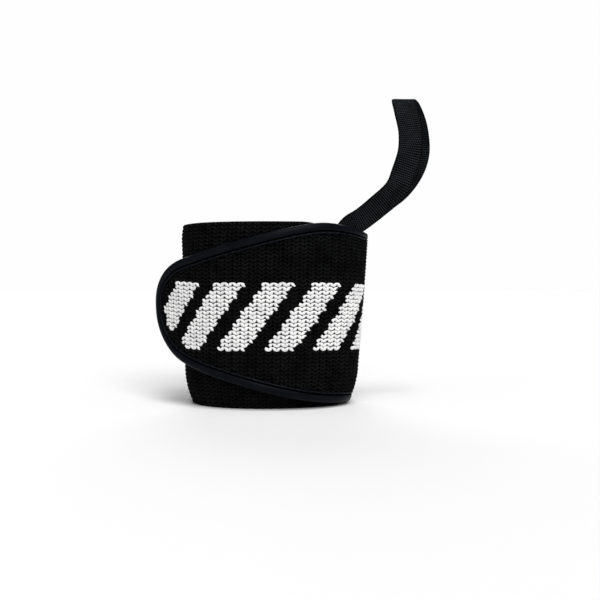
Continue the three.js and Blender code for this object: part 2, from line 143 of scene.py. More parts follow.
@dataclass
class WornForm:
    """The leaning, slightly conical oval that the band is wound on."""

    hollow_width: float = 63.8
    hollow_depth: float = 45.0
    roundness: float = 2.25
    half_band: float = 36.5
    cone_slope: float = 0.049
    lean_slope: float = 0.0224
    tongue_fade: float = 14.0
    uneven_depth: float = 0.28
    uneven_waves: tuple[Wave, ...] = (
        Wave(0.45, 3, 0.9, 0.03), Wave(0.35, 5, 2.0, -0.07), Wave(0.20, 9, 0.0, 0.11))
    lower_curl: Curl = Curl(start=-23.0, depth=2.6, reach=13.0)
    upper_curl: Curl = Curl(start=29.0, depth=0.9, reach=7.0)
    dip: RimDip = RimDip()
    samples: int = 7200
    oval: Array = field(init=False)
    along: Array = field(init=False)

    def __post_init__(self) -> None:
        """Sample the oval once, evenly enough to look places up by distance."""
        angle = np.linspace(0, 2 * math.pi, self.samples + 1)
        power = 2 / self.roundness
        half = np.array([self.hollow_width, self.hollow_depth]) / 2
        circle = np.stack([np.cos(angle), np.sin(angle)], axis=1)
        self.oval = half * np.sign(circle) * np.abs(circle) ** power
        steps = np.linalg.norm(np.diff(self.oval, axis=0), axis=1)
        self.along = np.concatenate([[0], np.cumsum(steps)])

    def oval_at(self, turn: Array) -> tuple[Array, Array]:
        """Points and outward normals of the hollow's oval.

        Args:
            turn: turns round the oval, 0 at +X, rising anticlockwise seen from above.
        Returns:
            Plan points and plan normals, with x and y last.
        """
        place = (np.asarray(turn, float) % 1.0) * self.along[-1]
        point = np.stack([np.interp(place, self.along, self.oval[:, axis]) for axis in (0, 1)], axis=-1)
        half = np.array([self.hollow_width, self.hollow_depth]) / 2
        return point, unit(np.sign(point) * np.abs(point / half) ** (self.roundness - 1) / half)

    def face_inset(self, height: Array, free_share: Array) -> Array:
        """How far the rims are drawn in toward the hollow.

        Args:
            height: heights.
            free_share: 0 where the strip is wound, rising to 1 along the free tongue.
        Returns:
            Distances inward.
        """
        lower = np.clip((self.lower_curl.start - height) / self.lower_curl.reach, 0, 1)
        upper = np.clip((height - self.upper_curl.start) / self.upper_curl.reach, 0, 1)
        drawn = self.lower_curl.depth * lower**2 + self.upper_curl.depth * upper**2
        return drawn * (1 - free_share)

    def dipped_height(self, height: Array, turn: Array, turns: Array) -> Array:
        """Lower the top rim under the thumb loop.

        Args:
            height: heights before the dip.
            turn: turns round the oval.
            turns: turns wound from the inner end.
        Returns:
            The heights after the dip.
        """
        dip = self.dip
        around = turn - np.round(turn - dip.turn)
        outer_share = smooth(dip.outer_from, dip.outer_until, turns)
        spread = mix(dip.inner_spread, dip.outer_spread, outer_share)
        depth = mix(dip.inner_depth, dip.outer_depth, outer_share)
        away = np.clip(np.abs(around - dip.turn) / spread, 0, 1)
        rise = np.clip((height - dip.start) / dip.reach, 0, 1)
        return height - depth * (1 + np.cos(math.pi * away)) / 2 * rise**2

    def unevenness(self, turn: Array, height: Array) -> Array:
        """The slight swell and sink of cloth pulled tight, the same through all layers.

        Args:
            turn: turns round the oval.
            height: heights.
        Returns:
            Distances outward.
        """
        around = 2 * math.pi * turn
        swells = (wave.share * np.sin(wave.count * around + wave.start + wave.drift * height)
                  for wave in self.uneven_waves)
        return self.uneven_depth * sum(swells)

    def points(self, plan: Array, normal: Array, turn: Array, free: Array, height: Array,
               outward: Array) -> Array:
        """Places on the worn form.

        Args:
            plan: plan points of the layer's inner face at mid height.
            normal: plan normals there.
            turn: turns round the oval.
            free: lengths run since the strip left the oval.
            height: heights.
            outward: distances out of the inner face.
        Returns:
            Points in millimetres.
        """
        inset = self.face_inset(height, smooth(0, self.tongue_fade, free))
        reach = outward + self.cone_slope * height - inset + self.unevenness(turn, height)
        flat = plan + normal * reach[..., None]
        leaning = flat[..., 0] + self.lean_slope * height
        return np.stack(np.broadcast_arrays(leaning, flat[..., 1], height), axis=-1)


@dataclass
class WoundStrip:
    """The strip of knitting wound on the form, with its tapered and rounded tongue."""

    form: WornForm
    width: float = 73.0
    thickness: float = 1.8
    layer_gap: float = 0.3
    inner_end_turn: float = -0.235
    leave_turns: float = 2.145
    free_length: float = 28.1
    end_heading: float = math.radians(52)
    binding_lift: float = 0.5
    binding_turns: tuple[float, float] = (1.60, 1.72)
    tape_lift: float = 0.75
    tape_turns: tuple[float, float] = (1.86, 1.97)
    taper_slope: float = 0.288
    taper_start: float = 15.7
    tip_length: float = 19.0
    tip_fullness: float = 2.35
    centre_rise: float = 3.2
    centre_settled: float = 0.75
    settle_length: float = 30.0
    shoulder_ease: float = 5.0
    wander_drop: float = 0.9
    wander_rest: float = 0.45
    wander_starts: float = 70.0
    wander_lowest: float = 130.0
    wander_ends: float = 190.0
    wound_samples: int = 4400
    free_samples: int = 500
    outline_samples: int = 1600
    outline_share: float = 0.32
    length: float = field(init=False)
    outline: Array = field(init=False)
    tracks: Array = field(init=False)
    from_tip: Array = field(init=False)

    def __post_init__(self) -> None:
        """Sample the wound line, then the tongue's outline."""
        self._wind()
        self._draw_outline()

    def _wind(self) -> None:
        """Follow the strip from its inner end round the oval and off along the free tongue."""
        turns = np.linspace(0, self.leave_turns, self.wound_samples)
        plan, normal = self.form.oval_at(self.inner_end_turn - turns)
        lift = self.binding_lift * smooth(*self.binding_turns, turns)
        lift = lift + self.tape_lift * smooth(*self.tape_turns, turns)
        plan = plan + normal * ((self.thickness + self.layer_gap) * turns + lift)[:, None]
        heading = math.atan2(-normal[-1, 0], -normal[-1, 1])
        free = np.linspace(0, self.free_length, self.free_samples)
        headings = mix(heading, self.end_heading, free / self.free_length)
        middle = (headings[1:] + headings[:-1]) / 2
        steps = np.stack([-np.cos(middle), np.sin(middle)], axis=1) * free[1]
        away = plan[-1] + np.cumsum(steps, axis=0)
        away_normal = np.stack([-np.sin(headings[1:]), -np.cos(headings[1:])], axis=1)
        plan = np.concatenate([plan, away])
        normal = np.concatenate([normal, away_normal])
        turns = np.concatenate([turns, np.full(len(away), self.leave_turns)])
        free = np.concatenate([np.zeros(self.wound_samples), free[1:]])
        along = np.concatenate([[0], np.cumsum(np.linalg.norm(np.diff(plan, axis=0), axis=1))])
        self.length = float(along[-1])
        self.from_tip = self.length - along
        self.tracks = np.column_stack([plan, normal, turns, free])

    def _draw_outline(self) -> None:
        """Sample the tongue's upper outline in the flat, with the way inward at each point."""
        from_tip = self.length * self.outline_share * np.linspace(0, 1, self.outline_samples) ** 3
        line = np.stack([from_tip, self.half(from_tip)], axis=1)
        way = np.gradient(line, axis=0)
        way[0] = (0, 1)
        inward = unit(np.stack([way[:, 1], -way[:, 0]], axis=1))
        steps = np.linalg.norm(np.diff(line, axis=0), axis=1)
        along = np.concatenate([[0], np.cumsum(steps)])
        self.outline = np.column_stack([line, inward, along])

    def from_tip_at(self, turns: float) -> float:
        """Distance from the tip at a number of turns from the inner end."""
        wound = slice(0, self.wound_samples)
        return float(np.interp(turns, self.tracks[wound, 4], self.from_tip[wound]))

    def place(self, from_tip: Array, height: Array, outward: Array) -> Array:
        """Places on the wound strip.

        Args:
            from_tip: distances from the tip.
            height: heights before the rim's dip.
            outward: distances out of the strip's inner face.
        Returns:
            Points in millimetres, shaped as the broadcast arguments.
        """
        given = (np.asarray(a, float) for a in (from_tip, height, outward))
        from_tip, height, outward = np.broadcast_arrays(*given)
        look = [np.interp(-from_tip, -self.from_tip, self.tracks[:, k]) for k in range(6)]
        plan = np.stack(look[:2], axis=-1)
        normal = unit(np.stack(look[2:4], axis=-1))
        turns, free = look[4:]
        turn = self.inner_end_turn - turns
        lowered = self.form.dipped_height(height, turn, turns)
        return self.form.points(plan, normal, turn, free, lowered, outward)

    def centre(self, from_tip: Array) -> Array:
        """Height of the strip's middle line.

        Args:
            from_tip: distances from the tip.
        Returns:
            Heights.
        """
        share = np.clip(np.asarray(from_tip, float) / self.settle_length, 0, 1)
        settled = mix(self.centre_rise, self.centre_settled, share * (2 - share))
        painted_groove_shade = mix(settled, -self.wander_drop, smooth(self.wander_starts, self.wander_lowest, from_tip))
        regained = self.wander_drop - self.wander_rest
        return painted_groove_shade + regained * smooth(self.wander_lowest, self.wander_ends, from_tip)

    def half(self, from_tip: Array) -> Array:
        """Half the strip's width.

        Args:
            from_tip: distances from the tip.
        Returns:
            Half widths.
        """
        from_tip = np.asarray(from_tip, float)
        taper = self.taper_start + self.taper_slope * from_tip
        ease = self.shoulder_ease / 2
        eased = self.width / 2 - np.log1p(np.exp((self.width / 2 - taper) / ease)) * ease
        back = np.clip(1 - from_tip / self.tip_length, 0, 1)
        rounding = (1 - back**self.tip_fullness) ** (1 / self.tip_fullness)
        return np.minimum(self.width / 2, eased) * rounding

    def inset_half(self, inset: float, from_tip: Array) -> Array:
        """Half height of a line set in from the outline.

        Args:
            inset: how far it is set in.
            from_tip: distances from the tip.
        Returns:
            Half heights, 0 before the line starts.
        """
        line = self.outline[:, :2] + inset * self.outline[:, 2:4]
        found = np.interp(from_tip, line[:, 0], line[:, 1])
        return np.where(np.asarray(from_tip) <= line[0, 0], 0, np.maximum(found, 0))

    def along_outline(self, along: Array, inward: Array, side: Array) -> Array:
        """Places on a tape that follows the outline.

        Args:
            along: distances along the outline from the tip, below zero on the upper edge.
            inward: distances in from the outline, one for each point of a section.
            side: distances out of the strip's middle, one for each point of a section.
        Returns:
            One row of points for each distance along.
        """
        look = [np.interp(np.abs(along), self.outline[:, 4], self.outline[:, k]) for k in range(4)]
        way = unit(np.stack(look[2:], axis=-1))
        here = look[0][:, None] + way[:, :1] * inward
        level = look[1][:, None] + way[:, 1:] * inward
        sign = np.where(along < 0, 1.0, -1.0)[:, None]
        return self.place(here, self.centre(here) + sign * level, self.thickness / 2 + side)


def grid_faces(rings: int, columns: int, closed: bool) -> tuple[Array, Array]:
    """Quads between successive rings.

    Args:
        rings: how many rings.
        columns: how many points each has.
        closed: whether a ring's last point joins its first.
    Returns:
        Faces as point numbers, and for each corner its number in the grid of uvs.
    """
    last = columns if closed else columns - 1
    wide = columns + 1 if closed else columns
    ring, column = (a.ravel() for a in np.meshgrid(np.arange(rings - 1), np.arange(last), indexing="ij"))
    after = (column + 1) % columns
    faces = np.stack([ring * columns + column, (ring + 1) * columns + column,
                      (ring + 1) * columns + after, ring * columns + after], axis=1)
    corners = np.stack([ring * wide + column, (ring + 1) * wide + column,
                        (ring + 1) * wide + column + 1, ring * wide + column + 1], axis=1)
    return faces, corners


def end_faces(columns: int) -> Array:
    """Quads that close a ring whose two halves face each other."""
    pair = np.arange(columns // 2 - 1)
    return np.stack([pair, pair + 1, columns - 2 - pair, columns - 1 - pair], axis=1)


def build_mesh(name: str, points: Array, faces: Array, uvs: Array,
               finish_of_face: Array | None = None) -> Piece:
    """Make a smooth-shaded piece of quads.

    Args:
        name: the piece's name.
        points: points in millimetres.
        faces: point numbers, four to a face.
        uvs: one uv, in millimetres of cloth, for each corner of each face.
        finish_of_face: the number of each face's material, or None for the first.
    Returns:
        The piece, linked to the scene.
    """
    mesh = bpy.data.meshes.new(name)
    mesh.vertices.add(len(points))
    mesh.vertices.foreach_set("co", (points * MM).ravel())
    mesh.loops.add(faces.size)
    mesh.loops.foreach_set("vertex_index", faces.ravel().astype(np.int32))
    mesh.polygons.add(len(faces))
    mesh.polygons.foreach_set("loop_start", np.arange(0, faces.size, 4, dtype=np.int32))
    mesh.update(calc_edges=True)
    mesh.uv_layers.new(name="UVMap").data.foreach_set("uv", uvs.ravel())
    if finish_of_face is not None:
        mesh.polygons.foreach_set("material_index", finish_of_face.astype(np.int32))
    mesh.polygons.foreach_set("use_smooth", np.ones(len(faces), bool))
    mesh.validate(clean_customdata=False)
    mesh.update()
    piece = bpy.data.objects.new(name, mesh)
    bpy.context.scene.collection.objects.link(piece)
    return piece


def build_body(name: str, rings: Array, ring_uv: Array, flip: bool = False) -> Piece:
    """Make a closed body from rings whose two halves face each other.

    Args:
        name: the piece's name.
        rings: points by ring and place in the ring.
        ring_uv: uvs by ring and place, one place more than the points.
        flip: whether the faces are turned round.
    Returns:
        The piece.
    """
    count, columns = rings.shape[:2]
    faces, corners = grid_faces(count, columns, closed=True)
    cap = end_faces(columns)
    last = cap[:, ::-1] + (count - 1) * columns
    faces = np.concatenate([faces, cap, last])
    uvs = np.concatenate([ring_uv.reshape(-1, 2)[corners], ring_uv[0][cap], ring_uv[-1][cap[:, ::-1]]])
    if flip:
        faces, uvs = faces[:, ::-1], uvs[:, ::-1]
    return build_mesh(name, rings.reshape(-1, 3), faces, uvs)


def build_slab(name: str, face: Array, back: Array, flat: Array) -> Piece:
    """Make a closed body between two faces of cloth.

    Args:
        name: the piece's name.
        face: points of one face, by ring and place across.
        back: points of the other face.
        flat: the cloth's flat coordinates at them.
    Returns:
        The piece.
    """
    rings = np.concatenate([face, back[:, ::-1]], axis=1)
    return build_body(name, rings, np.concatenate([flat, flat[:, ::-1], flat[:, :1]], axis=1))


def build_many(name: str, parts: list[Array], closed: bool, uvs: list[Array] | None = None,
               finishes: list[Array] | None = None) -> Piece:
    """Join many lofts of equal section into one piece.

    Args:
        name: the piece's name.
        parts: points by ring and place, one array for each loft.
        closed: whether the sections are closed rings with ends, or open lines.
        uvs: uvs for each open loft; closed ones get their own.
        finishes: the number of each ring's material, for each open loft.
    Returns:
        The piece.
    """
    points, faces, corner_uvs, numbers = [], [], [], []
    offset = 0
    uv_step = 0.25
    for index, part in enumerate(parts):
        count, columns = part.shape[:2]
        quads, corners = grid_faces(count, columns, closed)
        points.append(part.reshape(-1, 3))
        if closed:
            cap = end_faces(columns)
            quads = np.concatenate([quads, cap, (cap + (count - 1) * columns)[:, ::-1]])
            spot = np.stack([corners // (columns + 1), corners % (columns + 1)], axis=-1) * uv_step
            corner_uvs.append(np.concatenate([spot + index, np.zeros((len(cap) * 2, 4, 2)) + index]))
        else:
            corner_uvs.append(uvs[index].reshape(-1, 2)[corners])
            numbers.append(np.repeat(finishes[index][:-1], columns - 1))
        faces.append(quads + offset)
        offset += count * columns
    finish_of_face = None if closed else np.concatenate(numbers)
    return build_mesh(name, np.concatenate(points), np.concatenate(faces), np.concatenate(corner_uvs),
                      finish_of_face)


def cross_shares(rim: float, even: float, count: int) -> Array:
    """Shares across a tape, closer together at both edges.

    Args:
        rim: the share next to the edge.
        even: the share where the even places start.
        count: how many even places there are.
    Returns:
        Shares from -1 to 1.
    """
    return np.concatenate([[-1, -rim], np.linspace(-even, even, count), [rim, 1]])


def thread_rings(line: Array, aside: Array, above: Array, radius: Array) -> Array:
    """A short round thread.

    Args:
        line: points along its middle.
        aside: ways to one side.
        above: ways out of the cloth.
        radius: its radius at each point.
    Returns:
        Points by ring and place.
    """
    angle = np.radians(np.arange(30, 390, 60))
    across = unit(aside)[:, None] * (radius[:, None] * np.cos(angle))[..., None]
    out = unit(above)[:, None] * (radius[:, None] * np.sin(angle))[..., None]
    return line[:, None] + across + out


def thread_swell(share: Array) -> Array:
    """A thread's thickness along one stitch, drawn down into the cloth at both ends."""
    return np.sqrt(np.clip(1 - (2 * share) ** 4, 0.03, 1))


class NodeSketch:
    """A short way to place and join shader nodes in one tree."""

    def __init__(self, tree: bpy.types.NodeTree) -> None:
        """Hold the tree that is drawn in."""
        self.tree = tree

    def node(self, kind: str, values: Values | None = None, **settings: object) -> bpy.types.Node:
        """Place a node.

        Args:
            kind: its type.
            values: sockets or numbers for its inputs.
            settings: its options.
        Returns:
            The node.
        """
        made = self.tree.nodes.new(kind)
        for name, value in settings.items():
            setattr(made, name, value)
        self.feed(made, values or {})
        return made

    def feed(self, node: bpy.types.Node, values: Values) -> None:
        """Join sockets to a node's inputs, or set their values.

        Args:
            node: the node.
            values: sockets or numbers by the input's name or place.
        """
        for name, value in values.items():
            if isinstance(value, Socket):
                self.tree.links.new(value, node.inputs[name])
            else:
                node.inputs[name].default_value = value

    def math(self, operation: str, *values: object) -> Socket:
        """Place a math node fed with sockets or numbers.

        Args:
            operation: the node's operation.
            values: its inputs in order.
        Returns:
            Its output socket.
        """
        return self.node("ShaderNodeMath", dict(enumerate(values)), operation=operation).outputs[0]

    def wave(self, operation: str, place: object) -> Socket:
        """A sine or cosine that comes round once for each whole number of its place."""
        return self.math(operation, self.math("MULTIPLY", place, 2 * math.pi))


class GroupSketch(NodeSketch):
    """A shader node group in the making."""

    def __init__(self, name: str, inputs: dict[str, object], outputs: tuple[str, ...]) -> None:
        """Make the group's tree and its sockets.

        Args:
            name: the group's name.
            inputs: names with default numbers, or None for a vector.
            outputs: names of the values put out.
        """
        super().__init__(bpy.data.node_groups.new(name, "ShaderNodeTree"))
        for label, value in inputs.items():
            kind = "NodeSocketVector" if value is None else "NodeSocketFloat"
            socket = self.tree.interface.new_socket(name=label, in_out="INPUT", socket_type=kind)
            if value is not None:
                socket.default_value = value
        for label in outputs:
            self.tree.interface.new_socket(name=label, in_out="OUTPUT", socket_type="NodeSocketFloat")
        self.entry = self.node("NodeGroupInput").outputs
        self.exit = self.node("NodeGroupOutput")

    def along_and_across(self) -> tuple[Socket, Socket]:
        """The cloth's two flat coordinates."""
        split = self.node("ShaderNodeSeparateXYZ", {0: self.entry["Cloth"]}).outputs
        return split[0], split[1]


def make_fibre_group() -> bpy.types.NodeTree:
    """Fine fibres, and the slow unevenness of dyed cloth.

    Returns:
        The group.
    """
    sketch = GroupSketch("fibres", {"Cloth": None, "Fineness": 3.0}, ("Fibre", "Patchy"))
    fine = {"Scale": sketch.entry["Fineness"], "Detail": 3.0, "Roughness": 0.65}
    slow = {"Scale": 0.13, "Detail": 4.0, "Roughness": 0.75}
    for output, values in (("Fibre", fine), ("Patchy", slow)):
        noise = sketch.node("ShaderNodeTexNoise", {"Vector": sketch.entry["Cloth"], **values})
        sketch.feed(sketch.exit, {output: noise.outputs[0]})
    return sketch.tree


def make_stitch_group() -> bpy.types.NodeTree:
    """Rows of V stitches in low relief, for the faces where no yarn is laid.

    Returns:
        The group.
    """
    inputs = {"Cloth": None, "Wale": 3.1, "Course": 1.55, "Swing": 0.66}
    sketch = GroupSketch("stitch_rows", inputs, ("Height",))
    neck_depth, neck_power = 0.6, 3.0
    along, across = sketch.along_and_across()
    half_wale = sketch.math("MULTIPLY", sketch.entry["Wale"], 0.5)
    leg = sketch.math("DIVIDE", sketch.math("PINGPONG", along, half_wale), half_wale)
    rise = sketch.math("MULTIPLY", sketch.math("MULTIPLY", leg, sketch.entry["Swing"]), 2.0)
    rows = sketch.math("DIVIDE", sketch.math("ADD", across, rise), sketch.entry["Course"])
    ridge = sketch.math("MULTIPLY_ADD", sketch.wave("COSINE", rows), 0.5, 0.5)
    from_middle = sketch.math("ABSOLUTE", sketch.math("MULTIPLY_ADD", leg, 2.0, -1.0))
    keep = sketch.math("MULTIPLY_ADD", sketch.math("POWER", from_middle, neck_power), -neck_depth, 1.0)
    sketch.feed(sketch.exit, {"Height": sketch.math("MULTIPLY", ridge, keep)})
    return sketch.tree


def make_weave_group() -> bpy.types.NodeTree:
    """A plain weave in low relief.

    Returns:
        The group.
    """
    sketch = GroupSketch("plain_weave", {"Cloth": None, "Along": 0.5, "Across": 0.4}, ("Height",))
    waves = []
    for place, pitch in zip(sketch.along_and_across(), ("Along", "Across")):
        waves.append(sketch.wave("SINE", sketch.math("DIVIDE", place, sketch.entry[pitch])))
    crossing = sketch.math("MULTIPLY", *waves)
    sketch.feed(sketch.exit, {"Height": sketch.math("MULTIPLY_ADD", crossing, 0.5, 0.5)})
    return sketch.tree


def make_rib_group() -> bpy.types.NodeTree:
    """Cross ribs of webbing, each crossed by fine threads that change places from rib to rib.

    Returns:
        The group.
    """
    inputs = {"Cloth": None, "Along": 0.9, "Across": 0.9, "Edge": 4.1}
    sketch = GroupSketch("webbing_ribs", inputs, ("Height",))
    thread_depth, edge_slope, edge_least = 0.36, 1.2, 0.3
    along, across = sketch.along_and_across()
    place = sketch.math("DIVIDE", along, sketch.entry["Along"])
    rib = sketch.math("MULTIPLY_ADD", sketch.wave("COSINE", place), 0.5, 0.5)
    thread = sketch.math("DIVIDE", across, sketch.entry["Across"])
    thread = sketch.math("MULTIPLY_ADD", sketch.math("ROUND", place), 0.5, thread)
    thread = sketch.math("MULTIPLY_ADD", sketch.wave("COSINE", thread), thread_depth, 1 - thread_depth)
    beyond = sketch.math("SUBTRACT", sketch.math("ABSOLUTE", across), sketch.entry["Edge"])
    keep = sketch.math("SUBTRACT", 1.0, sketch.math("MULTIPLY", beyond, edge_slope))
    keep = sketch.math("MINIMUM", sketch.math("MAXIMUM", keep, edge_least), 1.0)
    height = sketch.math("MULTIPLY", sketch.math("MULTIPLY", rib, thread), keep)
    sketch.feed(sketch.exit, {"Height": height})
    return sketch.tree


@dataclass(frozen=True)
class Cloth:
    """One cloth's finish. Colours are linear, pitches in millimetres."""

    name: str
    dark: Triple
    light: Triple
    roughness: float
    specular: float
    fineness: float
    bump: float
    sheen: float = 0.0
    relief: Relief = Relief.NONE
    along: float = 0.5
    across: float = 0.4
    relief_share: float = 0.7


DARK_YARN = Cloth(
    name="dark_yarn", dark=(0.0001, 0.0001, 0.0001), light=(0.0080, 0.0082, 0.0083),
    roughness=0.6, specular=0.012, fineness=1.8, bump=0.3)
WHITE_YARN = Cloth(
    name="white_yarn", dark=(0.60, 0.60, 0.61), light=(0.86, 0.86, 0.85),
    roughness=0.85, specular=0.15, fineness=5.0, bump=0.3, sheen=0.05)
BAND_GROUND = Cloth(
    name="band_ground", dark=(0.0001, 0.0001, 0.0001), light=(0.0016, 0.0016, 0.0017),
    roughness=0.8, specular=0.01, fineness=5.0, bump=0.7, relief=Relief.STITCHES)
BINDING_TAPE = Cloth(
    name="binding_tape", dark=(0.0006, 0.0008, 0.0014), light=(0.0050, 0.0060, 0.0094),
    roughness=0.34, specular=0.03, fineness=2.2, bump=0.12, relief=Relief.WEAVE, along=0.42, across=0.36)
# Painted shade: the faces in the binding's stitched groove take this near-black colour, so the groove
# reads as a shadowed line.
GROOVE_PAINTED_SHADE = Cloth(
    name="groove_painted_shade", dark=(0.0001, 0.0001, 0.0001), light=(0.0007, 0.0007, 0.0009),
    roughness=0.8, specular=0.0, fineness=4.0, bump=0.2)
HOOK_TAPE = Cloth(
    name="hook_tape", dark=(0.0008, 0.0008, 0.0009), light=(0.0040, 0.0040, 0.0044),
    roughness=0.5, specular=0.08, fineness=3.0, bump=0.8, relief=Relief.WEAVE, along=1.5, across=1.5)
# The light colour shows on the rib crests as painted highlight, and the dark colour in the hollows between
# ribs as painted shade.
WEBBING_CLOTH = Cloth(
    name="webbing", dark=(0.0001, 0.0001, 0.0002), light=(0.0230, 0.0250, 0.0285),
    roughness=0.55, specular=0.012, fineness=5.0, bump=0.4,
    relief=Relief.RIBS, along=0.9, across=0.9, relief_share=0.85)
DARK_THREAD = Cloth(
    name="dark_thread", dark=(0.0030, 0.0034, 0.0046), light=(0.0110, 0.0122, 0.0150),
    roughness=0.45, specular=0.08, fineness=8.0, bump=0.2)


class Wardrobe:
    """Makes each cloth material once, from shared groups."""

    BUMP_DEPTH = 0.3 * MM
    SHEEN_ROUGHNESS = 0.4
    PATCH_GAIN, PATCH_BASE = 1.6, -0.3
    TONE_GAIN, TONE_BASE = 1.5, -0.2
    SHADE_GAIN = 2.0

    def __init__(self) -> None:
        """Build the shared groups."""
        self.fibres = make_fibre_group()
        self.reliefs = {
            Relief.STITCHES: make_stitch_group(),
            Relief.WEAVE: make_weave_group(),
            Relief.RIBS: make_rib_group(),
        }
        self.made: dict[str, bpy.types.Material] = {}

    def get(self, cloth: Cloth) -> bpy.types.Material:
        """A cloth's material, made when it is first asked for.

        Args:
            cloth: the finish.
        Returns:
            The material.
        """
        if cloth.name not in self.made:
            self.made[cloth.name] = self._make(cloth)
        return self.made[cloth.name]

    def _height(self, sketch: NodeSketch, cloth: Cloth, flat: Socket, fibre: Socket) -> Socket:
        """The cloth's relief: fibres, and the weave or stitches over them.

        Args:
            sketch: the material's tree.
            cloth: the finish.
            flat: the cloth's flat coordinates.
            fibre: the fibre pattern.
        Returns:
            The socket that gives the height.
        """
        if cloth.relief is Relief.NONE:
            return fibre
        values = {"Cloth": flat}
        if cloth.relief is not Relief.STITCHES:
            values.update({"Along": cloth.along, "Across": cloth.across})
        placed = sketch.node("ShaderNodeGroup", values, node_tree=self.reliefs[cloth.relief])
        fine = sketch.math("MULTIPLY", fibre, 1 - cloth.relief_share)
        return sketch.math("MULTIPLY_ADD", placed.outputs["Height"], cloth.relief_share, fine)

    def _make(self, cloth: Cloth) -> bpy.types.Material:
        """Build one material.

        Args:
            cloth: the finish.
        Returns:
            The material.
        """
        material = bpy.data.materials.new(cloth.name)
        material.use_nodes = True
        sketch = NodeSketch(material.node_tree)
        flat = sketch.node("ShaderNodeTexCoord").outputs["UV"]
        values = {"Cloth": flat, "Fineness": cloth.fineness}
        fibres = sketch.node("ShaderNodeGroup", values, node_tree=self.fibres)
        height = self._height(sketch, cloth, flat, fibres.outputs["Fibre"])
        patchy = sketch.math("MULTIPLY_ADD", fibres.outputs["Patchy"], self.PATCH_GAIN, self.PATCH_BASE)
        # Painted shade and painted highlight: where a cloth has a relief, its hollows take the dark colour
        # and its crests the light one. The fibre noise and the slow patches add real random tone.
        relief_shade_and_fibre_tone = sketch.math("MULTIPLY_ADD", height, self.TONE_GAIN, self.TONE_BASE)
        shade = sketch.math("MULTIPLY", sketch.math("MULTIPLY", relief_shade_and_fibre_tone, patchy), self.SHADE_GAIN)
        ends = {"Factor": shade, "A": (*cloth.dark, 1), "B": (*cloth.light, 1)}
        colour = sketch.node("ShaderNodeMix", ends, data_type="RGBA", clamp_factor=True)
        bump = sketch.node("ShaderNodeBump", {
            "Strength": cloth.bump, "Distance": self.BUMP_DEPTH, "Height": height})
        sketch.feed(material.node_tree.nodes["Principled BSDF"], {
            "Base Color": colour.outputs["Result"],
            "Normal": bump.outputs["Normal"],
            "Roughness": cloth.roughness,
            "Specular IOR Level": cloth.specular,
            "Sheen Weight": cloth.sheen,
            "Sheen Roughness": self.SHEEN_ROUGHNESS,
        })
        return material

    def dress(self, piece: Piece, cloths: tuple[Cloth, ...], node: str = "") -> Piece:
        """Give a piece its materials, its body and the node that it stands for.

        Args:
            piece: the piece.
            cloths: its finishes, in the order of the faces' numbers.
            node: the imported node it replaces, or nothing.
        Returns:
            The same piece.
        """
        for cloth in cloths:
            piece.data.materials.append(self.get(cloth))
        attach(piece, BODY)
        if node:
            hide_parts(node)
        LOG.info("%s: %d faces", piece.name, len(piece.data.polygons))
        return piece


@dataclass(frozen=True)
class SlantedBars:
    """The white knitted-in bars that lean away from the tongue's tip."""

    pitch: float = 18.7
    width: float = 11.6
    first: float = 5.6
    count: int = 6
    half_height: float = 13.0
    slant: float = 0.72
    centre: float = -1.4
    edge_margin: float = 6.7

    def cover(self, strip: WoundStrip, from_tip: Array, level: Array) -> Array:
        """Whether places on the strip are knitted white.

        Args:
            strip: the wound strip.
            from_tip: distances from the tip.
            level: heights above the strip's middle line.
        Returns:
            True where they are.
        """
        rise = level - self.centre
        place = from_tip - self.slant * rise - self.first
        number = np.floor(place / self.pitch)
        in_bar = (place - number * self.pitch < self.width) & (number >= -1) & (number < self.count)
        in_tongue = np.abs(level) <= strip.inset_half(self.edge_margin, from_tip)
        return in_bar & in_tongue & (np.abs(rise) <= self.half_height)


@dataclass(frozen=True)
class Ripple:
    """A small wave along a row of stitches: its depth, its rate and its shift from row to row."""

    depth: float
    rate: float
    shift: float

    def at(self, from_tip: Array, row: int) -> Array:
        """The wave's values on a row."""
        return self.depth * np.sin(from_tip * self.rate + row * self.shift)


